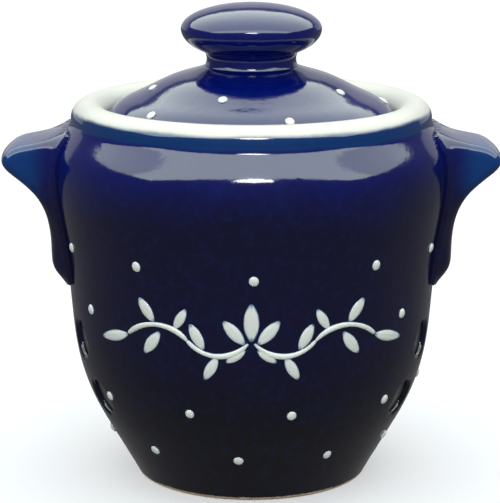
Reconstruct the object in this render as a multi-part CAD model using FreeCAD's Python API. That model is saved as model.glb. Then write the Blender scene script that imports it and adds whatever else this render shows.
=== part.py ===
import FreeCAD, Part
import math
import os

# Garlic keeper: a thrown stoneware pot with two lug handles and an inset lid.
# Millimetres, +Z up. Origin: middle of the foot, on the surface it stands on.
# The front, with the slip ornament, faces -Y, and the handles stand on +X and -X.

V = FreeCAD.Vector

# Pot, outside: heights near the rim are measured down from its top
rim_height = 118.5
rim_roll = 5.4
collar_r = 55.8
collar_drop = 6.5
foot_r = 36.0
foot_edge = 1.2
foot_flare_r = 38.4
foot_flare_z = 5.0
belly_low_r = 43.6
belly_low_z = 14.0
belly_mid_r = 50.9
belly_mid_z = 28.0
belly_high_r = 54.9
belly_high_z = 42.0
belly_r = 56.8
belly_z = 60.0
shoulder_r = 61.7
shoulder_drop = 21.5
shoulder_turn_r = 61.2
shoulder_turn_drop = 16.5
shoulder_slope_r = 59.0
shoulder_slope_drop = 11.9

# Pot, inside
wall = 5.8
floor_thick = 7.0
foot_ring_width = 8.0
foot_ring_depth = 1.2
ledge_depth = 8.5
ledge_width = 5.4
ledge_thick = 4.6

# Vent holes through the wall, in two rows below each handle's end
vent_r = 5.5
vent_high_drop = 15.5
vent_low_drop = 33.0
vent_low_turn = 26.0
vent_high_turn = 19.0

# Handles
handle_width = 28.0
handle_reach = 15.6
handle_nose = 4.6
handle_tip_drop = 8.0
handle_top_drop = 9.9
handle_waist_drop = 33.2
handle_end_drop = 46.6
handle_waist_proud = 3.1
handle_edge = 2.3

# Lid: heights are measured up from the ledge
lid_gap = 1.3
lid_edge = 4.8
lid_edge_turn = 2.6
lid_wall = 5.0
lid_dome_r = 24.0
lid_dome_rise = 15.7
lid_mid_r = 34.5
lid_mid_rise = 10.7
lid_cove_r = 18.0
lid_cove_rise = 17.5
lid_seat_width = 5.0

# Lid knob: heights are measured up from its foot
knob_foot_r = 14.4
knob_foot_rise = 18.8
knob_neck_r = 13.8
knob_neck_rise = 2.4
knob_brow_r = 14.4
knob_r = 21.7
knob_mid_rise = 11.4
knob_rise = 7.8
knob_drop = 9.5
knob_crown_r = 0.4

# Raised slip dots, laid by hand: the turn from the front of each dot in a row, in degrees
dot_r = 1.5
dot_rise = 0.8
dots_keep_off_handle = 1.5
dot_rows = (
    (16.0, (-149.0, -113.0, -77.0, -41.0, -5.0, 31.0, 67.0, 103.0, 139.0, 175.0)),
    (31.9, (-163.0, -128.0, -92.0, -55.2, -20.5, 13.2, 50.3, 86.0, 122.0, 158.0)),
    (58.8, (-165.0, -125.0, -58.4, 52.6, 126.0, 162.0)),
    (74.4, (0.7,)),
    (76.4, (-144.0, -110.0, -67.3, -34.9, 38.4, 67.3, 112.0, 146.0, 178.0)),
)
lid_dot_rows = (
    (13.4, (-152.0, -79.0, -16.0, 61.0, 132.0)),
    (3.4, (-128.0, -47.0, 16.0, 90.0, 164.0)),
)

# Slip ornament on the front: the stem waves along stem_z
slip_thick = 0.6
stroke = 1.6
ornament_z = 59.0
stem_drop = 4.0
ornament_half = 38.0
wave_r = 11.5
wave_turn = 50.0
leaf_long = 9.5
leaf_wide = 3.6

collar_z = rim_height - collar_drop
shoulder_z = rim_height - shoulder_drop
shoulder_turn_z = rim_height - shoulder_turn_drop
shoulder_slope_z = rim_height - shoulder_slope_drop
ledge_z = rim_height - ledge_depth
handle_top_z = rim_height - handle_top_drop
handle_waist_z = handle_top_z - handle_waist_drop
handle_end_z = handle_top_z - handle_end_drop
vent_high_z = handle_end_z - vent_high_drop
vent_low_z = handle_end_z - vent_low_drop
lid_mid_z = ledge_z + lid_mid_rise
lid_dome_z = ledge_z + lid_dome_rise
lid_cove_z = ledge_z + lid_cove_rise
knob_foot_z = ledge_z + knob_foot_rise
knob_neck_z = knob_foot_z + knob_neck_rise
knob_z = knob_foot_z + knob_mid_rise
stem_z = ornament_z - stem_drop
gallery_r = collar_r - 2.0 * rim_roll
rim_mid_r = collar_r - rim_roll
rim_mid_z = rim_height - rim_roll
lid_r = gallery_r - lid_gap
throat_r = gallery_r - ledge_width
lid_seat_r = lid_r - lid_seat_width


def line(a, b):
    return Part.makeLine(V(*a), V(*b))


def arc(a, b, c):
    return Part.Arc(V(*a), V(*b), V(*c)).toShape()


def curve(points):
    spline = Part.BSplineCurve()
    spline.interpolate([V(*p) for p in points])
    return spline.toShape()


def quarter(side_r, mid_z, end_z, from_r):
    """Part of an ellipse on the axis, from its widest point at mid_z in to radius from_r."""
    ellipse = Part.Ellipse(V(side_r, 0, mid_z), V(0, 0, end_z), V(0, 0, mid_z))
    return Part.ArcOfEllipse(ellipse, 0.0, math.acos(from_r / side_r)).toShape()


def spin(edges):
    face = Part.Face(Part.Wire(edges))
    return face.revolve(V(0, 0, 0), V(0, 0, 1), 360.0)


def at(r, z):
    return (r, 0.0, z)


def outer_edges(grow=0.0):
    """Outside of the pot, from the foot to the top of the rim, moved out by grow."""
    foot = at(foot_r - foot_edge + grow, 0.0)
    foot_mid = at(foot_r - 0.3 * foot_edge + grow, 0.3 * foot_edge)
    foot_top = at(foot_r + 0.25 * foot_edge + grow, foot_edge)
    neck = at(collar_r + grow, collar_z)
    side = [
        foot_top,
        at(foot_flare_r + grow, foot_flare_z),
        at(belly_low_r + grow, belly_low_z),
        at(belly_mid_r + grow, belly_mid_z),
        at(belly_high_r + grow, belly_high_z),
        at(belly_r + grow, belly_z),
        at(0.5 * (belly_r + shoulder_r) + grow, 0.5 * (belly_z + shoulder_z)),
        at(shoulder_r + grow, shoulder_z),
        at(shoulder_turn_r + grow, shoulder_turn_z),
        at(shoulder_slope_r + grow, shoulder_slope_z),
        neck,
    ]
    rim_side = at(collar_r + grow, rim_mid_z)
    rim_turn = at(
        rim_mid_r + (rim_roll + grow) * math.sqrt(0.5),
        rim_mid_z + (rim_roll + grow) * math.sqrt(0.5),
    )
    rim_top = at(rim_mid_r, rim_height + grow)
    return foot, rim_top, [
        arc(foot, foot_mid, foot_top),
        curve(side),
        line(neck, rim_side),
        arc(rim_side, rim_turn, rim_top),
    ]


def pot_block(grow=0.0):
    """The pot filled in, for cutting what sits on its outside."""
    foot, rim_top, edges = outer_edges(grow)
    edges.append(line(rim_top, at(0.0, rim_top[2])))
    edges.append(line(at(0.0, rim_top[2]), at(0.0, 0.0)))
    edges.append(line(at(0.0, 0.0), foot))
    return spin(edges)


def vents():
    holes = []
    for side in (-90.0, 90.0):
        for z, turn in ((vent_low_z, vent_low_turn), (vent_high_z, vent_high_turn)):
            for sign in (-1.0, 1.0):
                angle = math.radians(side + sign * turn)
                out = V(math.sin(angle), -math.cos(angle), 0.0)
                start = out * (throat_r * 0.5) + V(0, 0, z)
                holes.append(Part.makeCylinder(vent_r, shoulder_r, start, out))
    return holes


def pot_body():
    foot, rim_top, edges = outer_edges()
    ring_r = foot_r - foot_edge - foot_ring_width
    crown_in = at(gallery_r, rim_mid_z)
    crown_turn = at(
        rim_mid_r - rim_roll * math.sqrt(0.5),
        rim_mid_z + rim_roll * math.sqrt(0.5),
    )
    ledge_low = ledge_z - ledge_thick
    inside = [
        at(throat_r, ledge_low),
        at(0.5 * (throat_r + shoulder_slope_r - wall), ledge_low - 0.3 * wall),
        at(shoulder_slope_r - wall, shoulder_slope_z - 1.3 * wall),
        at(shoulder_r - wall, shoulder_z - wall),
        at(0.5 * (belly_r + shoulder_r) - wall, 0.5 * (belly_z + shoulder_z)),
        at(belly_r - wall, belly_z),
        at(belly_high_r - wall, belly_high_z),
        at(belly_mid_r - wall, belly_mid_z + 1.0),
        at(belly_low_r - wall, belly_low_z + 2.5),
        at(foot_flare_r - wall, floor_thick + 1.8),
        at(foot_r - 1.9 * wall, floor_thick),
    ]
    edges += [
        arc(rim_top, crown_turn, crown_in),
        line(crown_in, at(gallery_r, ledge_z)),
        line(at(gallery_r, ledge_z), at(throat_r, ledge_z)),
        line(at(throat_r, ledge_z), inside[0]),
        curve(inside),
        line(inside[-1], at(0.0, floor_thick)),
        line(at(0.0, floor_thick), at(0.0, foot_ring_depth)),
        line(at(0.0, foot_ring_depth), at(ring_r, foot_ring_depth)),
        line(at(ring_r, foot_ring_depth), at(ring_r, 0.0)),
        line(at(ring_r, 0.0), foot),
    ]
    return spin(edges).cut(vents())


def handle(side, block):
    """A solid lug round the wall: flat shelf, rounded nose, then a sweep down to a rounded end."""
    inner = collar_r - 0.5 * wall
    tip_r = shoulder_r + handle_reach
    tip_z = handle_top_z - handle_tip_drop
    waist_r = belly_r + 0.45 * (shoulder_r - belly_r) + handle_waist_proud
    outline = [
        at(inner, handle_top_z + 0.05 * handle_tip_drop),
        at(collar_r + 0.1 * handle_nose, handle_top_z),
        at(shoulder_r, handle_top_z - 0.11 * handle_tip_drop),
        at(shoulder_r + 0.43 * handle_reach, handle_top_z - 0.3 * handle_tip_drop),
        at(tip_r - 0.8 * handle_nose, handle_top_z - 0.46 * handle_tip_drop),
        at(tip_r - 0.2 * handle_nose, tip_z + 0.48 * handle_nose),
        at(tip_r, tip_z),
        at(tip_r - 0.18 * handle_nose, tip_z - 0.43 * handle_nose),
        at(tip_r - 0.76 * handle_nose, tip_z - 0.98 * handle_nose),
        at(0.5 * (tip_r + waist_r) - 0.4 * handle_nose, tip_z - 2.15 * handle_nose),
        at(waist_r + 0.43 * handle_nose, handle_waist_z + 2.1 * handle_nose),
        at(waist_r, handle_waist_z),
        at(waist_r, handle_waist_z - 1.2 * handle_nose),
        at(waist_r - 0.13 * handle_nose, handle_end_z + handle_nose),
        at(waist_r - 0.56 * handle_nose, handle_end_z + 0.48 * handle_nose),
        at(waist_r - 1.2 * handle_nose, handle_end_z + 0.1 * handle_nose),
        at(inner, handle_end_z - 0.1 * handle_nose),
    ]
    edges = [
        curve(outline),
        line(outline[-1], outline[0]),
    ]
    start = V(0.0, -0.5 * handle_width, handle_end_z - handle_nose)
    slab = Part.makeBox(tip_r + handle_nose, handle_width, handle_end_drop + 2.0 * handle_nose, start)
    lug = spin(edges).common(slab)
    rounded = [edge for edge in lug.Edges if is_long_edge(edge, tip_r)]
    lug = lug.makeFillet(handle_edge, rounded).cut(block)
    if side < 0:
        lug = lug.mirror(V(0, 0, 0), V(1, 0, 0))
    return lug


def is_long_edge(edge, tip_r):
    """One of the edges where the lug's flat sides meet its face."""
    box = edge.BoundBox
    flat = box.YLength < 0.01 and abs(abs(box.YMin) - 0.5 * handle_width) < 0.01
    return flat and box.ZLength > handle_nose and box.XMax > tip_r - handle_nose


def lid_outer():
    edge_low = at(lid_r, ledge_z)
    edge_high = at(lid_r, ledge_z + lid_edge)
    dome = [
        edge_high,
        at(lid_r - lid_edge_turn, ledge_z + lid_edge + lid_edge_turn),
        at(lid_mid_r, lid_mid_z),
        at(lid_dome_r, lid_dome_z),
        at(lid_cove_r, lid_cove_z),
        at(knob_foot_r, knob_foot_z),
    ]
    return edge_low, [line(edge_low, edge_high), curve(dome)]


def lid():
    edge_low, edges = lid_outer()
    under = [
        at(lid_seat_r, ledge_z),
        at(lid_mid_r - 0.3 * lid_wall, lid_mid_z - 1.1 * lid_wall),
        at(lid_dome_r, lid_dome_z - lid_wall),
        at(0.5 * lid_dome_r, lid_dome_z - 0.75 * lid_wall),
        at(0.0, lid_dome_z - 0.7 * lid_wall),
    ]
    edges += [
        line(at(knob_foot_r, knob_foot_z), at(0.0, knob_foot_z)),
        line(at(0.0, knob_foot_z), under[-1]),
        curve(list(reversed(under))),
        line(under[0], edge_low),
    ]
    return spin(edges)


def lid_block():
    """The lid filled in, for cutting what sits on its outside."""
    edge_low, edges = lid_outer()
    edges += [
        line(at(knob_foot_r, knob_foot_z), at(0.0, knob_foot_z)),
        line(at(0.0, knob_foot_z), at(0.0, ledge_z)),
        line(at(0.0, ledge_z), edge_low),
    ]
    return spin(edges)


def lid_knob():
    foot = at(knob_foot_r, knob_foot_z)
    neck = at(knob_neck_r, knob_neck_z)
    brow = at(knob_brow_r, knob_z - knob_drop * math.sqrt(1.0 - (knob_brow_r / knob_r) ** 2))
    crown = at(knob_crown_r, knob_z + knob_rise * math.sqrt(1.0 - (knob_crown_r / knob_r) ** 2))
    edges = [
        line(at(0.0, knob_foot_z), foot),
        arc(foot, neck, brow),
        quarter(knob_r, knob_z, knob_z - knob_drop, knob_brow_r),
        quarter(knob_r, knob_z, knob_z + knob_rise, knob_crown_r),
        line(crown, at(0.0, crown[2])),
        line(at(0.0, crown[2]), at(0.0, knob_foot_z)),
    ]
    return spin(edges)


def radius_at(block, angle, z):
    """Outside radius of a turned block at one height, found with a straight probe."""
    out = V(math.sin(angle), -math.cos(angle), 0.0)
    probe = Part.makeLine(V(0, 0, z), out * (2.0 * shoulder_r) + V(0, 0, z))
    return probe.common(block).Length


def pot_dots(block):
    dots = []
    for z, turns in dot_rows:
        for turn in turns:
            angle = math.radians(turn)
            r = radius_at(block, angle, z)
            x = r * math.sin(angle)
            y = -r * math.cos(angle)
            behind_handle = z > handle_end_z - 2.0 * dot_r
            if behind_handle and abs(y) < 0.5 * handle_width + dots_keep_off_handle:
                continue
            near_vent = any(
                math.hypot((abs(abs(turn) - 90.0) - vent_turn) * math.radians(1.0) * r, z - vent_z)
                < vent_r + 2.0 * dot_r for vent_z, vent_turn in
                ((vent_low_z, vent_low_turn), (vent_high_z, vent_high_turn)))
            in_ornament = y < 0 and abs(x) < ornament_half + leaf_wide and abs(z - ornament_z) < wave_r
            if near_vent or in_ornament:
                continue
            dots.append(slip_dot(V(x, y, z), V(math.sin(angle), -math.cos(angle), 0.0)))
    return Part.makeCompound([d.cut(block) for d in dots])


def slip_dot(place, out):
    """A ball that stands dot_rise proud and meets the surface in a ring of dot_r."""
    ball_r = (dot_r ** 2 + dot_rise ** 2) / (2.0 * dot_rise)
    return Part.makeSphere(ball_r, place + out * (dot_rise - ball_r))


def lid_dots(block):
    dots = []
    for inset, turns in lid_dot_rows:
        r = lid_r - inset
        for turn in turns:
            angle = math.radians(turn)
            x = r * math.sin(angle)
            y = -r * math.cos(angle)
            probe = Part.makeLine(V(x, y, ledge_z), V(x, y, knob_z))
            top = ledge_z + probe.common(block).Length
            dots.append(slip_dot(V(x, y, top), V(0, 0, 1)).cut(block))
    return Part.makeCompound(dots)


def band(cx, cz, r, start, sweep):
    """A flat stroke along an arc in the XZ plane, angles from +X towards +Z."""
    def p(radius, degrees):
        a = math.radians(degrees)
        return (cx + radius * math.cos(a), 0.0, cz + radius * math.sin(a))

    low = r - 0.5 * stroke
    high = r + 0.5 * stroke
    mid = start + 0.5 * sweep
    end = start + sweep
    return Part.Face(Part.Wire([
        arc(p(low, start), p(low, mid), p(low, end)),
        line(p(low, end), p(high, end)),
        arc(p(high, end), p(high, mid), p(high, start)),
        line(p(high, start), p(low, start)),
    ]))


def leaf(x, z, degrees, size=1.0):
    """A pointed leaf from (x, z), two arcs wide."""
    a = math.radians(degrees)
    ux, uz = math.cos(a), math.sin(a)
    long = leaf_long * size
    wide = 0.5 * leaf_wide * size
    tip = (x + long * ux, 0.0, z + long * uz)
    left = (x + 0.5 * long * ux - wide * uz, 0.0, z + 0.5 * long * uz + wide * ux)
    right = (x + 0.5 * long * ux + wide * uz, 0.0, z + 0.5 * long * uz - wide * ux)
    base = (x, 0.0, z)
    return Part.Face(Part.Wire([arc(base, left, tip), arc(tip, right, base)]))


def slip_ornament(block, skin):
    """A mirrored leaf garland trailed in slip: a bud in the middle, a branch each side."""
    dip = wave_r * math.cos(math.radians(wave_turn))
    reach = wave_r * math.sin(math.radians(wave_turn))
    faces = [leaf(0.0, stem_z, 90.0, 1.35)]
    for side in (-1.0, 1.0):
        def turned(degrees):
            return degrees if side > 0 else 180.0 - degrees

        faces.append(leaf(side * stroke, stem_z - 0.4 * stroke, turned(48.0), 1.1))
        faces.append(leaf(side * 0.9 * stroke, stem_z - 1.1 * stroke, turned(-35.0), 0.8))
        low_x = side * (0.6 * stroke + reach)
        high_x = low_x + side * 2.0 * reach
        faces.append(band(low_x, stem_z + dip, wave_r, 270.0 - wave_turn, 2.0 * wave_turn))
        faces.append(band(high_x, stem_z - dip, wave_r, 90.0 - wave_turn, 2.0 * wave_turn))
        for x, z, degrees, size in (
            (low_x, -0.35 * wave_r, -62.0, 0.95),
            (low_x + side * 0.35 * wave_r, -0.23 * wave_r, 62.0, 1.0),
            (high_x - side * 0.4 * wave_r, 0.26 * wave_r, 118.0, 0.85),
            (high_x + side * 0.1 * wave_r, 0.38 * wave_r, 58.0, 0.95),
            (high_x - side * 0.05 * wave_r, 0.2 * wave_r, -58.0, 1.0),
            (high_x + side * reach, -0.03 * wave_r, -20.0, 1.0),
        ):
            faces.append(leaf(x, stem_z + z, turned(degrees), size))
    strokes = [f.extrude(V(0, -2.0 * shoulder_r, 0)) for f in faces]
    flat = strokes[0].fuse(strokes[1:])
    return flat.common(skin.cut(block))


def save(name, shape):
    solids = shape.Solids
    for solid in solids:
        if not solid.isValid():
            print(name, "has a solid that is not valid")
    whole = solids[0] if len(solids) == 1 else Part.makeCompound(solids)
    whole.exportStep("parts/" + name + ".step")
    box = whole.BoundBox
    print(name, len(solids), "solids", round(whole.Volume), "mm3",
          "x %.1f..%.1f y %.1f..%.1f z %.1f..%.1f" % (
              box.XMin, box.XMax, box.YMin, box.YMax, box.ZMin, box.ZMax))


os.makedirs("parts", exist_ok=True)
outside = pot_block()
lid_solid = lid_block()
save("pot_body", pot_body())
save("left_handle", handle(-1.0, outside))
save("right_handle", handle(1.0, outside))
save("lid", lid())
save("lid_knob", lid_knob())
save("pot_slip_dots", pot_dots(outside))
save("lid_slip_dots", lid_dots(lid_solid))
save("slip_ornament", slip_ornament(outside, pot_block(slip_thick)))
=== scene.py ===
import bpy
import math
import numpy
from mathutils import Matrix, Vector, noise


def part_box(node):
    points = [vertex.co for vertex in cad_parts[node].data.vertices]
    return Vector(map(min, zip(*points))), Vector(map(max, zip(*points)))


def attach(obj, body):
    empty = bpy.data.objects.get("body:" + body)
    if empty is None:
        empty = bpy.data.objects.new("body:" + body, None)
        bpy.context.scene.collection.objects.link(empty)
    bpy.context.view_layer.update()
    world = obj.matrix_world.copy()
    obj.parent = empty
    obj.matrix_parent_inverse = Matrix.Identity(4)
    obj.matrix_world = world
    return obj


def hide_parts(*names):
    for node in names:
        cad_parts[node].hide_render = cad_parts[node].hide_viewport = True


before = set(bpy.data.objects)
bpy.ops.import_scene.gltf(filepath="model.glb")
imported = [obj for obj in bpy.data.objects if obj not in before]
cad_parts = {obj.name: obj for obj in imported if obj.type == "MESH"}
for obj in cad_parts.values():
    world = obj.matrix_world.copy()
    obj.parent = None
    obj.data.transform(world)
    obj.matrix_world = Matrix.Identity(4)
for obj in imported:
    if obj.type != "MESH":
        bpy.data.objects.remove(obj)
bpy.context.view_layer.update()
mm = 0.001
# without a seed the noise vectors differ from run to run
noise.seed_set(4)
print("frame loaded")


# small helpers for selecting, naming and finishing

def deselectAll():
    if bpy.context.object and bpy.context.object.mode != "OBJECT":
        bpy.ops.object.mode_set(mode="OBJECT")
    bpy.ops.object.select_all(action="DESELECT")


def pick(obj, *others):
    deselectAll()
    for each in (obj, *others):
        each.select_set(True)
    bpy.context.view_layer.objects.active = obj


def nameIt(name):
    obj = bpy.context.object
    obj.name = name
    obj.data.name = name
    return obj


def applyModifiers(obj):
    pick(obj)
    for modifier in list(obj.modifiers):
        bpy.ops.object.modifier_apply(modifier=modifier.name)


def shadeSmooth(obj, degrees=180.0):
    pick(obj)
    if degrees >= 180.0:
        bpy.ops.object.shade_smooth()
    else:
        bpy.ops.object.shade_smooth_by_angle(angle=math.radians(degrees))


def joinAll(objs, name):
    pick(objs[0], *objs[1:])
    bpy.ops.object.join()
    bpy.ops.object.transform_apply(location=True, rotation=True, scale=True)
    return nameIt(name)


def drawOutline(name, places):
    # one vertex is extruded from place to place; the mesh is left selected in edit mode
    deselectAll()
    bpy.ops.mesh.primitive_plane_add(size=mm, location=(0, 0, 0))
    obj = nameIt(name)
    bpy.ops.object.mode_set(mode="EDIT")
    bpy.ops.mesh.select_all(action="SELECT")
    bpy.ops.mesh.merge(type="CENTER")
    bpy.ops.transform.translate(value=places[0])
    for before, after in zip(places, places[1:]):
        bpy.ops.mesh.extrude_region_move(TRANSFORM_OT_translate={"value": after - before})
    bpy.ops.mesh.select_all(action="SELECT")
    return obj


def faceOutward():
    # turns the faces of the mesh in edit mode outwards, and leaves edit mode
    bpy.ops.mesh.select_all(action="SELECT")
    bpy.ops.mesh.normals_make_consistent(inside=False)
    bpy.ops.object.mode_set(mode="OBJECT")


def spinProfile(name, points, steps):
    # a turned shape: its outline is spun round the axis
    obj = drawOutline(name, [Vector((r, 0, z)) for r, z in points])
    bpy.ops.mesh.spin(steps=steps, angle=math.tau, center=(0, 0, 0), axis=(0, 0, 1))
    bpy.ops.mesh.select_all(action="SELECT")
    bpy.ops.mesh.remove_doubles(threshold=0.01 * mm)
    faceOutward()
    return obj


def ramp(t, low, high):
    # 0 below low, 1 above high, and an even curve between
    t = min(max((t - low) / (high - low), 0.0), 1.0)
    return t * t * (3.0 - 2.0 * t)


def paint(obj, name, rule):
    # one number at each vertex, for the glaze to read
    layer = obj.data.attributes.new(name, "FLOAT", "POINT")
    for vertex, item in zip(obj.data.vertices, layer.data):
        item.value = rule(vertex.co)


# the turned shapes follow the solids, read from them with straight rays

farOut = 0.3


def outward(angle):
    # the level way out of the axis, where angle 0 is the front, -Y
    return Vector((math.sin(angle), -math.cos(angle), 0.0))


def tiltedOut(angle, slope):
    # the way out of a surface that leans by the slope
    return outward(angle) * math.cos(slope) - Vector((0, 0, 1)) * math.sin(slope)


def angleOf(p):
    return math.atan2(p.x, -p.y)


def offAxis(p):
    return math.hypot(p.x, p.y)


def castRay(node, start, way):
    hit, place, normal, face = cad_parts[node].ray_cast(start, way)
    return place if hit else None


def rayFromOutside(node, angle, z):
    out = outward(angle)
    return offAxis(castRay(node, out * farOut + Vector((0, 0, z)), -out))


def rayFromAxis(node, angle, z):
    return offAxis(castRay(node, Vector((0, 0, z)), outward(angle)))


def rayDown(node, r, angle, top=farOut):
    start = Vector((r * math.sin(angle), -r * math.cos(angle), top))
    return castRay(node, start, Vector((0, 0, -1))).z


def rayUp(node, r, angle):
    start = Vector((r * math.sin(angle), -r * math.cos(angle), -farOut))
    return castRay(node, start, Vector((0, 0, 1))).z


def spread(low, high, count):
    return [low + (high - low) * i / (count - 1) for i in range(count)]


# colours and nodes

def hexColour(code):
    # sRGB hex to linear, as the shader wants it
    parts = [int(code[i:i + 2], 16) / 255 for i in (1, 3, 5)]
    return tuple(c / 12.92 if c <= 0.04045 else ((c + 0.055) / 1.055) ** 2.4 for c in parts) + (1.0,)


def addNode(tree, kind, settings=None, inputs=None):
    # one node with its settings; an input that is a socket becomes a link
    node = tree.nodes.new(kind)
    for key, value in (settings or {}).items():
        setattr(node, key, value)
    for key, value in (inputs or {}).items():
        if isinstance(value, bpy.types.NodeSocket):
            tree.links.new(value, node.inputs[key])
        else:
            node.inputs[key].default_value = value
    return node


def newMaterial(name):
    material = bpy.data.materials.new(name)
    material.use_nodes = True
    tree = material.node_tree
    tree.nodes.clear()
    return material, tree


# camera: a long lens a little above the rim, as the photograph was taken

camera = {
    "distance": 700 * mm, "height": 227.5 * mm, "lens": 163.7, "sensor": 36.0, "clip": (0.01, 20.0),
    "aimX": -0.44 * mm, "aimZ": 69.95 * mm,
}


def makeCamera():
    deselectAll()
    place = Vector((0, -camera["distance"], camera["height"]))
    aim = Vector((camera["aimX"], 0, camera["aimZ"]))
    bpy.ops.object.camera_add(location=place, rotation=(aim - place).to_track_quat("-Z", "Y").to_euler())
    cam = nameIt("photoCamera")
    cam.data.sensor_width = camera["sensor"]
    cam.data.lens = camera["lens"]
    cam.data.clip_start, cam.data.clip_end = camera["clip"]
    bpy.context.scene.camera = cam


makeCamera()
print("camera set")


# pot body: thrown wall with a foot ring, a rolled rim and the ledge for the lid

pot = {
    "steps": 240, "sideRows": 96, "rimRows": 20, "insideRows": 60, "frontAngle": math.radians(2.0),
    "footEdge": 1.2 * mm, "footFlat": 2.2 * mm, "footRing": 9.2 * mm, "footRecess": 1.2 * mm,
    "rimWidth": 10.8 * mm, "ledgeRound": 1.2 * mm, "throatRound": 1.0 * mm, "throatDeep": 4.6 * mm,
    "floorRise": 0.8 * mm, "floorBend": 3.5 * mm, "floorLow": 0.05, "skin": 2.6 * mm, "smoothDegrees": 50,
}
frontAngle = pot["frontAngle"]
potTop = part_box("pot_body")[1].z
footR = rayFromOutside("pot_body", frontAngle, pot["footEdge"])
# the straight side of the rim ends here, and the round of the rim starts
collarTopZ = potTop - 0.5 * pot["rimWidth"]
collarR = rayFromOutside("pot_body", frontAngle, collarTopZ - 0.1 * mm)
# the lid's seat, just inside the rim
galleryR = collarR - pot["rimWidth"]
ledgeZ = rayDown("pot_body", galleryR - 1.0 * mm, frontAngle)
throatR = rayFromAxis("pot_body", frontAngle, ledgeZ - 1.0 * mm)
floorZ = rayDown("pot_body", 5 * mm, frontAngle, top=pot["floorLow"])

radiusTable = {}
radiusStep = 0.5 * mm


def withinSide(z):
    return min(max(z, 0.2 * mm), collarTopZ - 0.1 * mm)


def radiusAt(z):
    # outside radius of the pot at one height, kept for everything that sits on it
    z = withinSide(z)
    low = int(z / radiusStep)
    share = z / radiusStep - low
    for i in (low, low + 1):
        if i not in radiusTable:
            radiusTable[i] = rayFromOutside("pot_body", frontAngle, withinSide(i * radiusStep))
    return radiusTable[low] * (1 - share) + radiusTable[low + 1] * share


def slopeAt(z):
    return math.atan2(radiusAt(z + mm) - radiusAt(z - mm), 2 * mm)


def potOutline():
    ring = footR - pot["footRing"]
    recess = pot["footRecess"]
    # under the foot: the recess, and the ring it stands on
    points = [(0.0, recess), (ring - 0.6 * mm, recess), (ring - 0.15 * mm, recess - 0.35 * mm),
              (ring + 0.5 * mm, 0.05 * mm), (ring + 1.2 * mm, 0.0), (footR - pot["footFlat"], 0.0)]
    # up the outside
    for z in spread(0.12 * mm, pot["footEdge"], 5):
        points.append((rayFromOutside("pot_body", frontAngle, z), z))
    for z in spread(pot["footFlat"], collarTopZ, pot["sideRows"]):
        points.append((rayFromOutside("pot_body", frontAngle, min(z, collarTopZ - 0.01 * mm)), z))
    # over the rim
    half = 0.5 * pot["rimWidth"]
    for i in range(1, pot["rimRows"]):
        turn = math.pi * i / pot["rimRows"]
        points.append((collarR - half + half * math.cos(turn), collarTopZ + half * math.sin(turn)))
    # the ledge and the throat below it
    bend = pot["ledgeRound"]
    points += [(galleryR, collarTopZ), (galleryR, ledgeZ + bend), (galleryR - 0.35 * mm, ledgeZ + 0.35 * mm),
               (galleryR - bend, ledgeZ), (throatR + pot["throatRound"], ledgeZ),
               (throatR + 0.3 * mm, ledgeZ - 0.12 * mm), (throatR, ledgeZ - pot["throatRound"])]
    throatLow = ledgeZ - pot["throatDeep"]
    points.append((throatR, throatLow + 0.6 * mm))
    # down the inside to the floor
    for z in spread(throatLow, floorZ + pot["floorRise"], pot["insideRows"]):
        points.append((rayFromAxis("pot_body", frontAngle, z - 0.02 * mm), z))
    last = points[-1][0]
    bend = pot["floorBend"]
    points += [(last - bend, floorZ + 0.12 * mm), (last - 2 * bend, floorZ), (0.0, floorZ)]
    return points


# vent holes under each handle, pressed through with a soft lip

vents = {
    "radius": 5.5 * mm, "lip": 1.5 * mm, "lipRows": 8, "rows": ((29.0 * mm, 26.0), (46.5 * mm, 19.0)),
    "inward": 12 * mm, "outward": 4 * mm, "sunk": 0.25 * mm, "sides": 40,
}


def ventCutter(number, angle, z):
    # a spindle with a flared mouth, so that the hole's edge comes out rounded
    radius, lip = vents["radius"], vents["lip"]
    outline = [(0.0, -vents["inward"]), (radius, -vents["inward"]), (radius, -lip)]
    for i in range(1, vents["lipRows"] + 1):
        turn = math.pi / 2 * i / vents["lipRows"]
        outline.append((radius + lip * (1 - math.cos(turn)), -lip + lip * math.sin(turn)))
    outline += [(radius + lip * 1.02, vents["outward"]), (0.0, vents["outward"])]
    cutter = spinProfile("ventCutter%d" % number, outline, vents["sides"])
    lean = tiltedOut(angle, slopeAt(z)).normalized()
    place = outward(angle) * (radiusAt(z) - vents["sunk"]) + Vector((0, 0, z))
    cutter.matrix_world = Matrix.Translation(place) @ lean.to_track_quat("Z", "Y").to_matrix().to_4x4()
    return cutter


def makePot():
    body = spinProfile("potBody", potOutline(), pot["steps"])
    cutters = []
    for side in (-90, 90):
        for z, turn in vents["rows"]:
            for sign in (-1, 1):
                cutters.append(ventCutter(len(cutters), math.radians(side + sign * turn), z))
    for cutter in cutters:
        cut = body.modifiers.new("vent", "BOOLEAN")
        cut.operation = "DIFFERENCE"
        cut.solver = "EXACT"
        cut.object = cutter
    applyModifiers(body)
    for cutter in cutters:
        bpy.data.objects.remove(cutter)
    shadeSmooth(body, pot["smoothDegrees"])
    return body


potBody = makePot()
print("pot body", len(potBody.data.polygons), "faces")


# handles: solid lugs that flow out of the wall

handle = {
    "halfWidth": 14.0 * mm, "edge": 2.8 * mm, "root": 7.0 * mm, "endRound": 6.5 * mm, "cell": 0.6 * mm,
    "spreadAngle": 24.0, "lowZ": 53.0 * mm, "highZ": 111.4 * mm, "slab": 2.6 * mm, "sink": 0.45 * mm,
    "outlineRows": 150, "slabRows": 40, "border": 1.2 * mm, "borderDegrees": 1.2, "pulls": 7,
    # the teal share, reach and height also paint the lug's upper part brighter, as painted light from above
    "probe": 0.02 * mm, "teal": 0.8, "tealReach": (63 * mm, 71 * mm), "tealHeight": (85 * mm, 95 * mm),
}


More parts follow.
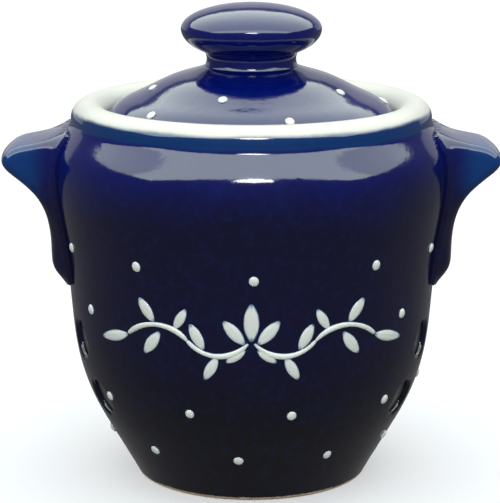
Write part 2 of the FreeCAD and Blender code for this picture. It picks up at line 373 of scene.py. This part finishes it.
def lugOutline():
    # the CAD lug's outline along its middle, from the top of the shelf round the tip to the end
    low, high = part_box("right_handle")
    points = []
    for z in spread(high.z - 0.06 * mm, low.z + 0.06 * mm, handle["outlineRows"]):
        place = castRay("right_handle", Vector((farOut, 0, z)), Vector((-1, 0, 0)))
        if place is not None:
            # the lower end is rounded off into the wall
            nearEnd = min(1, max(0, 1 - (z - low.z) / handle["endRound"]))
            points.append((place.x - handle["endRound"] * (1 - math.sqrt(1 - nearEnd ** 2)), z))
    # closed behind the wall's surface
    back = radiusAt(handle["lowZ"]) - 4 * mm
    return [(back, points[0][1])] + points + [(back, points[-1][1])]


lugRing = lugOutline()


def lugDistance(x, y, z):
    # distance to the lug with its long edges rounded, negative inside; arrays in, arrays out
    r = numpy.hypot(x, y)
    nearest = numpy.full(x.shape, 1.0)
    inside = numpy.zeros(x.shape, bool)
    tiny = 1e-18
    ring = numpy.array(lugRing)
    for (ax, az), (bx, bz) in zip(ring, numpy.roll(ring, -1, axis=0)):
        ex, ez = bx - ax, bz - az
        share = numpy.clip(((r - ax) * ex + (z - az) * ez) / (ex * ex + ez * ez + tiny), 0, 1)
        nearest = numpy.minimum(nearest, numpy.hypot(r - ax - share * ex, z - az - share * ez))
        crosses = (az > z) != (bz > z)
        with numpy.errstate(divide="ignore", invalid="ignore"):
            inside ^= crosses & (r < ex * (z - az) / (ez if ez else tiny) + ax)
    edge = handle["edge"]
    u = numpy.where(inside, -nearest, nearest) + edge
    v = numpy.abs(y) - handle["halfWidth"] + edge
    outside = numpy.hypot(numpy.maximum(u, 0), numpy.maximum(v, 0))
    return numpy.minimum(numpy.maximum(u, v), 0) + outside - edge


wallHeights = numpy.array(spread(0.5 * mm, collarTopZ - 0.2 * mm, 400))
wallRadii = numpy.array([radiusAt(z) for z in wallHeights])


def wallDistance(x, y, z):
    return numpy.hypot(x, y) - numpy.interp(z, wallHeights, wallRadii)


def flowDistance(x, y, z):
    # wall and lug joined with a soft root; the second value is 1 on the lug and 0 out on the wall
    wall = wallDistance(x, y, z)
    lug = lugDistance(x, y, z)
    root = handle["root"]
    share = numpy.clip(0.5 + 0.5 * (wall - lug) / root, 0, 1)
    joined = wall * (1 - share) + lug * share - root * share * (1 - share)
    return joined, share


def makeHandle():
    # a slab of the wall's own curve, which the lug grows from
    low, high, rows = handle["lowZ"], handle["highZ"], handle["slabRows"]
    outline = [(radiusAt(z) - handle["slab"], z) for z in spread(high, low, rows)]
    outline += [(radiusAt(z), z) for z in spread(low, high, rows)]
    half = math.radians(handle["spreadAngle"])
    places = [Vector((r * math.cos(half), -r * math.sin(half), z)) for r, z in outline]
    slab = drawOutline("rightHandle", places)
    bpy.ops.mesh.edge_face_add()
    bpy.ops.mesh.select_all(action="SELECT")
    bpy.ops.mesh.spin(steps=rows, angle=2 * half, center=(0, 0, 0), axis=(0, 0, 1))
    faceOutward()
    # the lug, as a straight slice through its outline
    lug = drawOutline("lug", [Vector((x, -handle["halfWidth"], z)) for x, z in lugRing])
    bpy.ops.mesh.edge_face_add()
    bpy.ops.mesh.extrude_region_move(TRANSFORM_OT_translate={"value": (0, 2 * handle["halfWidth"], 0)})
    faceOutward()
    # the two are made one skin, which is then drawn onto the flowing shape
    pick(slab, lug)
    bpy.ops.object.join()
    slab = nameIt("rightHandle")
    remesh = slab.modifiers.new("remesh", "REMESH")
    remesh.mode = "VOXEL"
    remesh.voxel_size = handle["cell"]
    applyModifiers(slab)
    flowMesh(slab)
    shadeSmooth(slab)
    return slab


def mirrorHandle(original):
    pick(original)
    bpy.ops.object.duplicate()
    copy = nameIt("leftHandle")
    bpy.ops.object.mode_set(mode="EDIT")
    bpy.ops.mesh.select_all(action="SELECT")
    bpy.ops.transform.mirror(constraint_axis=(True, False, False), center_override=(0, 0, 0))
    faceOutward()
    return copy


def flowMesh(obj):
    # each point near the surface is drawn onto the flowing shape, then the hidden rim is sunk
    mesh = obj.data
    flat = numpy.empty(len(mesh.vertices) * 3, numpy.float32)
    mesh.vertices.foreach_get("co", flat)
    p = flat.reshape(-1, 3).astype(float)
    wall = wallDistance(p[:, 0], p[:, 1], p[:, 2])
    outer = wall > -0.55 * handle["slab"]
    q = p[outer]
    small = handle["probe"]
    shallow = 0.25
    for pull in range(handle["pulls"]):
        here, share = flowDistance(q[:, 0], q[:, 1], q[:, 2])
        slope = numpy.stack([
            flowDistance(q[:, 0] + small, q[:, 1], q[:, 2])[0] - here,
            flowDistance(q[:, 0], q[:, 1] + small, q[:, 2])[0] - here,
            flowDistance(q[:, 0], q[:, 1], q[:, 2] + small)[0] - here], 1) / small
        steep = numpy.maximum((slope ** 2).sum(1), shallow)[:, None]
        q = q - slope * here[:, None] / steep
    share = flowDistance(q[:, 0], q[:, 1], q[:, 2])[1]
    sink = handle["sink"] * (1 - numpy.clip(share / 0.25, 0, 1)) ** 2
    p[outer] = q - slope / numpy.sqrt(steep) * sink[:, None]
    # what lies at the slab's border keeps under the pot's surface
    r = numpy.hypot(p[:, 0], p[:, 1])
    limit = numpy.interp(p[:, 2], wallHeights, wallRadii) - handle["sink"]
    rim = (p[:, 2] > handle["highZ"] - handle["border"]) | (p[:, 2] < handle["lowZ"] + handle["border"])
    widest = math.radians(handle["spreadAngle"] - handle["borderDegrees"])
    rim |= numpy.abs(numpy.arctan2(p[:, 1], p[:, 0])) > widest
    p[:, :2] *= numpy.where(rim & (r > limit), limit / r, 1.0)[:, None]
    mesh.vertices.foreach_set("co", p.astype(numpy.float32).ravel())
    mesh.update()


rightHandle = makeHandle()
leftHandle = mirrorHandle(rightHandle)
print("handles", len(rightHandle.data.polygons), "faces each")


# lid: an inset dome with a rounded edge, hollow below

lid = {
    "steps": 192, "rows": 46, "underRows": 24, "seatWide": 5.0 * mm, "edge": 0.9 * mm, "edgeRows": 5,
    "angle": math.radians(2.0), "smoothDegrees": 55,
}


def lidOutline():
    low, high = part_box("lid")
    angle, edge = lid["angle"], lid["edge"]
    edgeR = rayFromOutside("lid", angle, low.z + 1.5 * mm)
    seatR = edgeR - lid["seatWide"]
    neckR = rayFromOutside("lid_knob", angle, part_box("lid_knob")[0].z + 0.1 * mm)
    # the hollow below, and the flat the lid rests on
    points = [(0.0, rayUp("lid", 0.3 * mm, angle))]
    for r in spread(2.0 * mm, seatR - 1.0 * mm, lid["underRows"]):
        points.append((r, rayUp("lid", r, angle)))
    points += [(seatR - 0.35 * mm, low.z + 0.5 * mm), (seatR + 0.4 * mm, low.z), (edgeR - 1.4 * mm, low.z)]
    # round the edge
    for i in range(1, lid["edgeRows"] + 1):
        turn = math.pi / 2 * i / lid["edgeRows"]
        points.append((edgeR - edge + edge * math.sin(turn), low.z + edge - edge * math.cos(turn)))
    # over the dome to the knob's neck
    top = []
    for r in spread(edgeR - 0.15 * mm, neckR + 0.15 * mm, lid["rows"]):
        top.append((r, rayDown("lid", r, angle, top=high.z + mm)))
    for z in spread(low.z + 1.6 * mm, top[0][1] - 0.4 * mm, 4):
        points.append((edgeR, z))
    points += top
    points += [(neckR - 0.6 * mm, high.z - 0.02 * mm), (0.0, high.z - 0.02 * mm)]
    return points


lidDome = spinProfile("lidDome", lidOutline(), lid["steps"])
shadeSmooth(lidDome, lid["smoothDegrees"])
print("lid", len(lidDome.data.polygons), "faces")


# knob: thrown on the lid, a pulled-in neck under a cushion-shaped grip

knob = {"steps": 160, "rows": 60, "topRows": 22, "crown": 3.2 * mm, "smoothDegrees": 60}


def knobOutline():
    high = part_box("lid_knob")[1]
    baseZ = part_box("lid")[1].z
    footZ = baseZ + 0.05 * mm
    angle = lid["angle"]
    points = [(0.0, baseZ), (rayFromOutside("lid_knob", angle, footZ) - 0.3 * mm, baseZ)]
    for z in spread(footZ, high.z - knob["crown"], knob["rows"]):
        points.append((rayFromOutside("lid_knob", angle, z), z))
    for r in spread(points[-1][0] - 0.7 * mm, 0.6 * mm, knob["topRows"]):
        points.append((r, rayDown("lid_knob", r, angle)))
    points.append((0.0, points[-1][1]))
    return points


lidKnob = spinProfile("lidKnob", knobOutline(), knob["steps"])
shadeSmooth(lidKnob, knob["smoothDegrees"])
print("knob", len(lidKnob.data.polygons), "faces")


# slip dots: a drop of thick cream slip each, a little uneven

dots = {
    "radius": 1.5 * mm, "rise": 0.784 * mm, "longer": 1.06, "uneven": 0.10, "grain": 900,
    "segments": 20, "rings": 12, "weld": 0.002 * mm, "slopeStep": 0.6 * mm,
}


def solidMiddles(node):
    # the middle of each separate solid in a CAD node, from its loose parts
    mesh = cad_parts[node].data
    corner = {}
    parent = list(range(len(mesh.vertices)))

    def find(i):
        while parent[i] != i:
            parent[i] = parent[parent[i]]
            i = parent[i]
        return i

    for v in mesh.vertices:
        key = tuple(round(c / dots["weld"]) for c in v.co)
        if key in corner:
            parent[find(v.index)] = find(corner[key])
        else:
            corner[key] = v.index
    for face in mesh.polygons:
        first = find(face.vertices[0])
        for i in face.vertices[1:]:
            parent[find(i)] = first
    groups = {}
    for v in mesh.vertices:
        groups.setdefault(find(v.index), []).append(v.co)
    middles = []
    for points in groups.values():
        low = Vector([min(p[i] for p in points) for i in range(3)])
        high = Vector([max(p[i] for p in points) for i in range(3)])
        middles.append((low + high) / 2)
    return sorted(middles, key=lambda p: (round(p.z, 4), round(p.x, 5), round(p.y, 5)))


def makeDots(name, node, surface):
    drops = []
    for middle in solidMiddles(node):
        place, normal = surface(middle)
        uneven = noise.noise_vector(middle * dots["grain"]) * dots["uneven"]
        wide = dots["radius"] * (1.0 + uneven.x)
        tall = dots["radius"] * (dots["longer"] + uneven.y)
        deselectAll()
        bpy.ops.mesh.primitive_uv_sphere_add(segments=dots["segments"], ring_count=dots["rings"], radius=1.0)
        drop = bpy.context.object
        facing = normal.to_track_quat("Z", "Y").to_matrix().to_4x4()
        size = Matrix.Diagonal((wide, tall, dots["rise"], 1.0))
        drop.matrix_world = Matrix.Translation(place) @ facing @ size
        drops.append(drop)
    whole = joinAll(drops, name)
    shadeSmooth(whole)
    return whole


def onPot(middle):
    # the point of the pot's surface beside a dot, and the way out of it
    angle = angleOf(middle)
    place = outward(angle) * radiusAt(middle.z) + Vector((0, 0, middle.z))
    return place, tiltedOut(angle, slopeAt(middle.z))


def onLid(middle):
    # the same on the dome, whose slope is taken from beside the dot
    angle, r, step = angleOf(middle), offAxis(middle), dots["slopeStep"]
    slope = math.atan2(rayDown("lid", r - step, angle) - rayDown("lid", r + step, angle), 2 * step)
    place = outward(angle) * r + Vector((0, 0, rayDown("lid", r, angle)))
    return place, outward(angle) * math.sin(slope) + Vector((0, 0, 1)) * math.cos(slope)


potDots = makeDots("potDots", "pot_slip_dots", onPot)
lidDots = makeDots("lidDots", "lid_slip_dots", onLid)
print("slip dots laid")


# garland: leaves and stems trailed on the front in thick slip, where the wall faces -Y

garland = {
    "stemZ": 55.0 * mm, "waveR": 11.5 * mm, "waveTurn": 50.0, "stroke": 1.6 * mm, "sunk": 0.24 * mm,
    "leafLong": 9.5 * mm, "leafWide": 3.6 * mm, "leafRise": 0.8 * mm, "leafSunk": 0.2 * mm,
    "veinDeep": 0.13 * mm, "veinWide": 0.22, "point": 0.35, "topLeaf": 1.35, "stemSteps": 14,
    "stemExtra": 0.1 * mm,
}


def onWall(x, z, out):
    return Vector((x, -math.sqrt((radiusAt(z) + out) ** 2 - x * x), z))


def makeStem(number, cx, cz, start, sweep):
    # a rounded trail of slip along an arc, thinner at its ends as the trailer lifts
    steps = garland["stemSteps"]
    bpy.ops.curve.primitive_nurbs_path_add(location=(0, 0, 0))
    stem = bpy.context.object
    spline = stem.data.splines[0]
    spline.points.add(steps + 1 - len(spline.points))
    for i, point in enumerate(spline.points):
        t = i / steps
        turn = math.radians(start + sweep * t)
        place = onWall(cx + garland["waveR"] * math.cos(turn), cz + garland["waveR"] * math.sin(turn),
                       -garland["sunk"])
        point.co = (*place, 1.0)
        point.radius = 0.98 + 0.12 * math.sin(9.0 * t + number) - 0.35 * abs(2 * t - 1) ** 6
    spline.order_u = 4
    spline.use_endpoint_u = True
    stem.data.dimensions = "3D"
    stem.data.bevel_depth = 0.5 * garland["stroke"] + garland["stemExtra"]
    stem.data.bevel_resolution = 5
    stem.data.use_fill_caps = True
    pick(stem)
    bpy.ops.object.convert(target="MESH")
    bpy.ops.object.mode_set(mode="EDIT")
    bpy.ops.mesh.select_all(action="SELECT")
    bpy.ops.mesh.remove_doubles(threshold=0.004 * mm)
    faceOutward()
    return bpy.context.object


def makeLeaf(x, z, degrees, size):
    # a pointed drop, full in the middle, pressed onto the curve of the wall
    deselectAll()
    bpy.ops.mesh.primitive_uv_sphere_add(segments=24, ring_count=16, radius=1.0, rotation=(0, math.pi / 2, 0))
    bpy.ops.object.transform_apply(location=True, rotation=True, scale=True)
    leaf = bpy.context.object
    turn = math.radians(degrees)
    long = garland["leafLong"] * size
    for vertex in leaf.data.vertices:
        u, v, w = vertex.co
        pointed = max(1.0 - u * u, 0.0) ** garland["point"]
        along = 0.5 * long * (1.0 + u)
        across = 0.5 * garland["leafWide"] * size * v * pointed
        vein = garland["veinDeep"] * max(0.0, 1.0 - abs(v) / garland["veinWide"]) * pointed
        lift = garland["leafRise"] * max(w, -0.5) * (0.35 + 0.65 * pointed) - garland["leafSunk"] - vein
        vertex.co = onWall(x + along * math.cos(turn) - across * math.sin(turn),
                           z + along * math.sin(turn) + across * math.cos(turn), lift)
    pick(leaf)
    bpy.ops.object.mode_set(mode="EDIT")
    faceOutward()
    return leaf


def makeGarland():
    turn, wave, stroke = garland["waveTurn"], garland["waveR"], garland["stroke"]
    dip = wave * math.cos(math.radians(turn))
    reach = wave * math.sin(math.radians(turn))
    stemZ = garland["stemZ"]
    parts = [makeLeaf(0.0, stemZ, 90.0, garland["topLeaf"])]
    for side in (-1, 1):
        def turned(degrees):
            return degrees if side > 0 else 180.0 - degrees

        parts.append(makeLeaf(side * stroke, stemZ - 0.4 * stroke, turned(48.0), 1.1))
        parts.append(makeLeaf(side * 0.9 * stroke, stemZ - 1.1 * stroke, turned(-35.0), 0.8))
        lowX = side * (0.6 * stroke + reach)
        highX = lowX + side * 2 * reach
        parts.append(makeStem(3 + side, lowX, stemZ + dip, 270.0 - turn, 2 * turn))
        parts.append(makeStem(7 + side, highX, stemZ - dip, 90.0 - turn, 2 * turn))
        for x, z, degrees, size in (
            (lowX, -0.35 * wave, -62.0, 0.95),
            (lowX + side * 0.35 * wave, -0.23 * wave, 62.0, 1.0),
            (highX - side * 0.4 * wave, 0.26 * wave, 118.0, 0.85),
            (highX + side * 0.1 * wave, 0.38 * wave, 58.0, 0.95),
            (highX - side * 0.05 * wave, 0.2 * wave, -58.0, 1.0),
            (highX + side * reach, -0.03 * wave, -20.0, 1.0),
        ):
            parts.append(makeLeaf(x, stemZ + z, turned(degrees), size))
    whole = joinAll(parts, "slipGarland")
    shadeSmooth(whole)
    return whole


slipGarland = makeGarland()
print("garland", len(slipGarland.data.polygons), "faces")


# the glazes

def insidePot(p):
    # 1 on the inside of the pot, 0 on its outside
    if p.z > collarTopZ:
        return 0.0 if offAxis(p) > collarR - 0.5 * pot["rimWidth"] else 1.0
    return 1.0 if p.z > 0.5 * floorZ and offAxis(p) < radiusAt(p.z) - pot["skin"] else 0.0


glaze = {
    "ior": 1.52, "gloss": 0.1, "paleGloss": 0.38, "clayMatt": 0.8, "swell": 0.35, "swellHigh": 0.5 * mm,
    # the drift and the two height spans on the next line place the painted shade that darkens the glaze
    # toward the foot
    "shadeWobble": 22.0 * mm, "footShadeFade": (34.0 * mm, 70.0 * mm), "bellyShadeFade": (96.0 * mm, 120.0 * mm),
    "waver": 1.6 * mm, "paleFade": (115.9 * mm, 117.3 * mm), "bandFade": (111.8 * mm, 113.4 * mm),
    "wipe": 0.8 * mm, "clayFade": (1.0 * mm, 0.5 * mm), "speckFade": (0.68, 0.74),
    # the first two colours are painted shade, for the foot and the lower wall
    "footShade": "#060614", "lowerWallShade": "#05042a", "cobalt": "#010a4c", "brightCobalt": "#010f62",
    "teal": "#023470", "rimTeal": "#023167", "cream": "#d3d2c8", "speck": "#c4bda8",
    "clay": "#b39a7c", "paleClay": "#d2bd9d",
}
slip = {"gloss": 0.12, "stain": "#35688c", "cream": "#e2e6dd", "fade": (0.25, 0.85), "full": 0.5 * mm}
smooth = {"interpolation_type": "SMOOTHSTEP"}
linear = {"interpolation_type": "LINEAR"}
blend = {"data_type": "RGBA"}
scaleAndAdd = {"operation": "MULTIPLY_ADD"}


def fading(value, span):
    # what a map-range node needs to go from 0 to 1 across a span
    return {"Value": value, "From Min": span[0], "From Max": span[1]}


def blending(share, first, second):
    # what a colour mix needs: its share, and two colours, each a hex code or a socket
    colours = [hexColour(c) if isinstance(c, str) else c for c in (first, second)]
    return {0: share, 6: colours[0], 7: colours[1]}


def makeCobaltGlaze(name, rimBand):
    # gloss stoneware glaze, cobalt over a pale body, with painted shade that darkens it to near black toward
    # the foot; teal where thin, and on the handles partly painted light
    material, tree = newMaterial(name)
    place = addNode(tree, "ShaderNodeTexCoord").outputs["Object"]
    axes = addNode(tree, "ShaderNodeSeparateXYZ", inputs={"Vector": place})
    # cloudy drift of the glaze, about 14 mm across
    cloud = addNode(tree, "ShaderNodeTexNoise", inputs={
        "Vector": place, "Scale": 70.0, "Detail": 4.0, "Roughness": 0.55})
    # fine break-up of the edges, about 2.5 mm across
    grit = addNode(tree, "ShaderNodeTexNoise", inputs={"Vector": place, "Scale": 400.0, "Detail": 3.0})
    # painted shade: cobalt high up, darkening to near black toward the foot where the wall faces away from
    # the light above; noise makes the heights waver
    shadeWobbleNoise = addNode(tree, "ShaderNodeTexNoise", inputs={"Vector": place, "Scale": 28.0, "Detail": 2.0})
    height = addNode(tree, "ShaderNodeMath", scaleAndAdd,
                     {0: shadeWobbleNoise.outputs["Fac"], 1: glaze["shadeWobble"], 2: axes.outputs["Z"]})
    footShadeShare = addNode(tree, "ShaderNodeMapRange", smooth, fading(height.outputs[0], glaze["footShadeFade"]))
    bellyShadeShare = addNode(tree, "ShaderNodeMapRange", smooth, fading(height.outputs[0], glaze["bellyShadeFade"]))
    low = addNode(tree, "ShaderNodeMix", blend,
                  blending(footShadeShare.outputs["Result"], glaze["footShade"], glaze["lowerWallShade"]))
    high = addNode(tree, "ShaderNodeMix", blend,
                   blending(cloud.outputs["Fac"], glaze["cobalt"], glaze["brightCobalt"]))
    shadedCobalt = addNode(tree, "ShaderNodeMix", blend,
                   blending(bellyShadeShare.outputs["Result"], low.outputs[2], high.outputs[2]))
    # teal where the clay stands out and the glaze drew thin, with a broken edge; on the handles' upper lug
    # this teal is also painted light, brighter where light from above falls
    thinAndLit = addNode(tree, "ShaderNodeAttribute", {"attribute_name": "thinAndLit"})
    waver = addNode(tree, "ShaderNodeMath", scaleAndAdd, {0: grit.outputs["Fac"], 1: 0.5, 2: -0.25})
    thinAndLitEdge = addNode(tree, "ShaderNodeMath", {"operation": "MULTIPLY_ADD", "use_clamp": True},
                       {0: thinAndLit.outputs["Fac"], 1: 1.25, 2: waver.outputs[0]})
    teal = addNode(tree, "ShaderNodeMix", blend,
                   blending(thinAndLitEdge.outputs[0], shadedCobalt.outputs[2], glaze["teal"]))
    colour = teal.outputs[2]
    rough = glaze["gloss"]
    if rimBand:
        # the pale clear glaze of the rim and the inside, with a wavering edge to the blue
        drift = addNode(tree, "ShaderNodeTexNoise", inputs={"Vector": place, "Scale": 60.0, "Detail": 3.0})
        edge = addNode(tree, "ShaderNodeMath", scaleAndAdd,
                       {0: drift.outputs["Fac"], 1: glaze["waver"], 2: axes.outputs["Z"]})
        pale = addNode(tree, "ShaderNodeMapRange", smooth, fading(edge.outputs[0], glaze["paleFade"]))
        inside = addNode(tree, "ShaderNodeAttribute", {"attribute_name": "inside"})
        either = addNode(tree, "ShaderNodeMath", {"operation": "MAXIMUM"},
                         {0: pale.outputs["Result"], 1: inside.outputs["Fac"]})
        # a teal band below it, where the two glazes meet
        fade = addNode(tree, "ShaderNodeMapRange", smooth, fading(edge.outputs[0], glaze["bandFade"]))
        band = addNode(tree, "ShaderNodeMix", blend,
                       blending(fade.outputs["Result"], colour, glaze["rimTeal"]))
        # iron specks about 1 mm across
        speck = addNode(tree, "ShaderNodeTexNoise", inputs={"Vector": place, "Scale": 900.0, "Detail": 2.0})
        speckle = addNode(tree, "ShaderNodeMapRange", smooth,
                          fading(speck.outputs["Fac"], glaze["speckFade"]))
        cream = addNode(tree, "ShaderNodeMix", blend,
                        blending(speckle.outputs["Result"], glaze["cream"], glaze["speck"]))
        top = addNode(tree, "ShaderNodeMix", blend,
                      blending(either.outputs[0], band.outputs[2], cream.outputs[2]))
        # the foot ring is wiped clean and shows the fired clay
        wiped = addNode(tree, "ShaderNodeMath", scaleAndAdd,
                        {0: grit.outputs["Fac"], 1: -glaze["wipe"], 2: axes.outputs["Z"]})
        bare = addNode(tree, "ShaderNodeMapRange", smooth, fading(wiped.outputs[0], glaze["clayFade"]))
        clay = addNode(tree, "ShaderNodeMix", blend,
                       blending(grit.outputs["Fac"], glaze["clay"], glaze["paleClay"]))
        foot = addNode(tree, "ShaderNodeMix", blend,
                       blending(bare.outputs["Result"], top.outputs[2], clay.outputs[2]))
        colour = foot.outputs[2]
        # the pale glaze is a little softer in its gloss than the cobalt
        soft = addNode(tree, "ShaderNodeMapRange", linear,
                       {"Value": either.outputs[0], "To Min": rough, "To Max": glaze["paleGloss"]})
        matt = addNode(tree, "ShaderNodeMix", {"data_type": "FLOAT"},
                       {0: bare.outputs["Result"], 2: soft.outputs["Result"], 3: glaze["clayMatt"]})
        rough = matt.outputs[0]
    # the slow unevenness of a hand-dipped glaze
    sway = addNode(tree, "ShaderNodeBump", inputs={
        "Strength": glaze["swell"], "Distance": glaze["swellHigh"], "Height": cloud.outputs["Fac"]})
    shader = addNode(tree, "ShaderNodeBsdfPrincipled", inputs={
        "Base Color": colour, "Roughness": rough, "IOR": glaze["ior"], "Normal": sway.outputs["Normal"]})
    addNode(tree, "ShaderNodeOutputMaterial", inputs={"Surface": shader.outputs[0]})
    return material


def makeSlip(name):
    # cream slip trailed thick under clear glaze, stained blue-green where it thins at its foot
    material, tree = newMaterial(name)
    place = addNode(tree, "ShaderNodeTexCoord").outputs["Object"]
    thick = addNode(tree, "ShaderNodeAttribute", {"attribute_name": "thick"})
    # breaks up the stain's edge, about 2 mm across
    drift = addNode(tree, "ShaderNodeTexNoise", inputs={"Vector": place, "Scale": 500.0, "Detail": 3.0})
    uneven = addNode(tree, "ShaderNodeMath", scaleAndAdd,
                     {0: drift.outputs["Fac"], 1: 0.5, 2: thick.outputs["Fac"]})
    stain = addNode(tree, "ShaderNodeMapRange", smooth, fading(uneven.outputs[0], slip["fade"]))
    colour = addNode(tree, "ShaderNodeMix", blend,
                     blending(stain.outputs["Result"], slip["stain"], slip["cream"]))
    shader = addNode(tree, "ShaderNodeBsdfPrincipled", inputs={
        "Base Color": colour.outputs[2], "Roughness": slip["gloss"], "IOR": glaze["ior"]})
    addNode(tree, "ShaderNodeOutputMaterial", inputs={"Surface": shader.outputs[0]})
    return material


def thinAndLitOnHandle(p):
    # teal on the upper part of the lug, out from the wall: partly where the glaze draws thin, partly painted
    # light where light from above falls on it
    return handle["teal"] * ramp(offAxis(p), *handle["tealReach"]) * ramp(p.z, *handle["tealHeight"])


def offPot(p):
    return offAxis(p) - radiusAt(p.z)


lidReach = max(offAxis(v.co) for v in lidDome.data.vertices) - 0.3 * mm


def offLid(p):
    return p.z - rayDown("lid", min(offAxis(p), lidReach), angleOf(p))


def thickOver(surface):
    # how far each point stands off the surface below it, up to the full thickness
    return lambda p: min(max(surface(p) / slip["full"], 0.0), 1.0)


paint(potBody, "inside", insidePot)
for piece in (potBody, lidDome, lidKnob):
    paint(piece, "thinAndLit", lambda p: 0.0)
for piece in (leftHandle, rightHandle):
    paint(piece, "thinAndLit", thinAndLitOnHandle)
for piece, surface in ((potDots, offPot), (slipGarland, offPot), (lidDots, offLid)):
    paint(piece, "thick", thickOver(surface))

potGlaze = makeCobaltGlaze("cobaltStonewareGlazePaleRim", True)
cobaltGlaze = makeCobaltGlaze("cobaltStonewareGlaze", False)
creamSlip = makeSlip("trailedCreamSlip")
for piece, material, body, node, slot in (
    (potBody, potGlaze, "pot", "pot_body", "blue_glaze"),
    (leftHandle, cobaltGlaze, "pot", "left_handle", "blue_glaze"),
    (rightHandle, cobaltGlaze, "pot", "right_handle", "blue_glaze"),
    (potDots, creamSlip, "pot", "pot_slip_dots", "cream_slip"),
    (slipGarland, creamSlip, "pot", "slip_ornament", "cream_slip"),
    (lidDome, cobaltGlaze, "lid", "lid", "blue_glaze"),
    (lidKnob, cobaltGlaze, "lid", "lid_knob", "blue_glaze"),
    (lidDots, creamSlip, "lid", "lid_slip_dots", "cream_slip"),
):
    piece.data.materials.clear()
    piece.data.materials.append(material)
    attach(piece, body)
    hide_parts(node)
print("glazes on")


# studio: a pale table, a wide softbox overhead, a soft front fill and one small lamp

studio = {
    "boxHeight": 0.9, "boxWide": 3.8, "boxFront": (-1.0, -0.45, 36.0), "boxRear": (-0.45, 1.5, 75.0),
    "boxColour": "#f4ffef", "coolColour": "#f4fbff", "wallColour": "#e2e4ea", "white": "#ffffff",
    "tableSize": 8.0, "tableColour": "#d4d4d4", "tableGlow": 0.3, "roomColour": "#bebebe", "roomGlow": 0.33,
}


def addArea(name, place, aim, size, power, lights, colour):
    # a lamp that lights "gloss" is seen in reflections only, and one that lights "matt" isn't seen in them
    direction = Vector(aim) - Vector(place)
    deselectAll()
    bpy.ops.object.light_add(type="AREA", location=place,
                             rotation=direction.to_track_quat("-Z", "Y").to_euler())
    lamp = nameIt(name)
    lamp.data.shape = "RECTANGLE"
    lamp.data.size, lamp.data.size_y = size
    lamp.data.energy = power
    lamp.data.color = hexColour(studio[colour])[:3]
    lamp.visible_glossy = lights == "gloss"
    lamp.visible_diffuse = lights == "matt"
    return lamp


def makeTable():
    deselectAll()
    bpy.ops.mesh.primitive_plane_add(size=studio["tableSize"], location=(0, 0, 0))
    table = nameIt("paleTable")
    # matt paper sweep, lit a little from within so that it stays pale
    material, tree = newMaterial("paleTable")
    shader = addNode(tree, "ShaderNodeBsdfPrincipled", inputs={
        "Base Color": hexColour(studio["tableColour"]), "Roughness": 0.9, "Specular IOR Level": 0.1,
        "Emission Color": hexColour(studio["white"]), "Emission Strength": studio["tableGlow"]})
    addNode(tree, "ShaderNodeOutputMaterial", inputs={"Surface": shader.outputs[0]})
    table.data.materials.append(material)
    table.visible_glossy = False
    table.visible_diffuse = False


def makeLights():
    high = potTop + studio["boxHeight"]
    for name, key in (("softboxFront", "boxFront"), ("softboxRear", "boxRear")):
        front, back, power = studio[key]
        middle = 0.5 * (front + back)
        addArea(name, place=(0, middle, high), aim=(0, middle, 0), size=(studio["boxWide"], back - front),
                power=power, lights="gloss", colour="boxColour")
    addArea("ceilingLight", place=(0, 0, 1.7), aim=(0, 0, 0), size=(7.0, 6.0),
            power=175.0, lights="matt", colour="coolColour")
    addArea("frontFill", place=(0, -1.6, 0.5), aim=(0, 0, 0.06), size=(1.6, 1.0),
            power=14.0, lights="matt", colour="coolColour")
    addArea("backWall", place=(0, 2.4, 0.6), aim=(0, 0, 0.6), size=(5.2, 1.2),
            power=12.0, lights="gloss", colour="wallColour")
    lamp = addArea("longLamp", place=(0.04, -1.25, 1.12), aim=(0, 0, 0.1), size=(0.5, 0.16),
                   power=7.0, lights="gloss", colour="white")
    lamp.data.shape = "ELLIPSE"


def makeRoom():
    # white to the camera, and a dim grey room to all else
    world = bpy.data.worlds.new("studioWorld")
    bpy.context.scene.world = world
    world.use_nodes = True
    tree = world.node_tree
    tree.nodes.clear()
    path = addNode(tree, "ShaderNodeLightPath")
    dim = addNode(tree, "ShaderNodeBackground", inputs={
        "Color": hexColour(studio["roomColour"]), "Strength": studio["roomGlow"]})
    white = addNode(tree, "ShaderNodeBackground", inputs={
        "Color": hexColour(studio["white"]), "Strength": 1.0})
    both = addNode(tree, "ShaderNodeMixShader", inputs={
        0: path.outputs["Is Camera Ray"], 1: dim.outputs[0], 2: white.outputs[0]})
    addNode(tree, "ShaderNodeOutputWorld", inputs={"Surface": both.outputs[0]})


# plain display colours, as a product photograph has them
bpy.context.scene.view_settings.view_transform = "Standard"
makeTable()
makeLights()
makeRoom()
print("studio lit")
